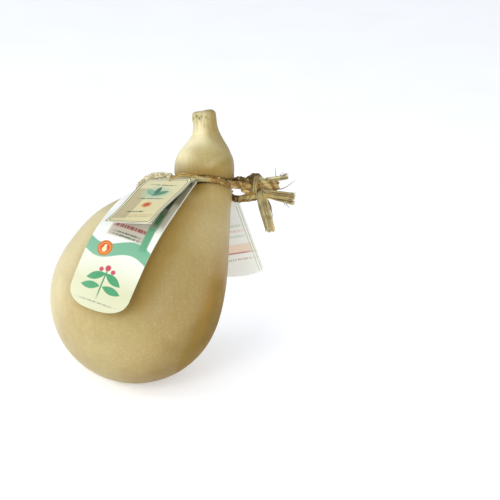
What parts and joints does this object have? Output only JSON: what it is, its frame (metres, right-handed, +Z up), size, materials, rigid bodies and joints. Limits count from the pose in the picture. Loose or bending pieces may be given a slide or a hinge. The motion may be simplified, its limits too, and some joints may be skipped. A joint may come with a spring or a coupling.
{
  "type": "caciocavallo cheese",
  "caption": "Pear-shaped stretched-curd cheese with a small head and stem, tied at the neck with rush rope and hung with printed paper cards.",
  "frame": {"origin": "centre of the small flat foot that the cheese rests on", "axes": "+X to the right as seen from the front, +Y back, +Z up"},
  "size_m": [0.2157, 0.1594, 0.223],
  "materials": {
    "rind": "smooth, slightly waxy cheese rind",
    "rush": "dry twisted rush rope",
    "card": "coated printed paper card",
    "thread": "gold thread"
  },
  "bodies": {
    "root": {"cheese": "rind", "neck_rope": "rush", "upper_strand": "rush", "rope_knot": "rush", "rope_end": "rush", "rope_tail_thin": "rush", "rope_tail_thick": "rush", "rope_tail_down": "rush", "hanging_loop": "rush", "long_card": "card", "small_card": "card", "rear_card": "card", "card_thread": "thread", "rear_thread": "thread"}
  },
  "joints": []
}
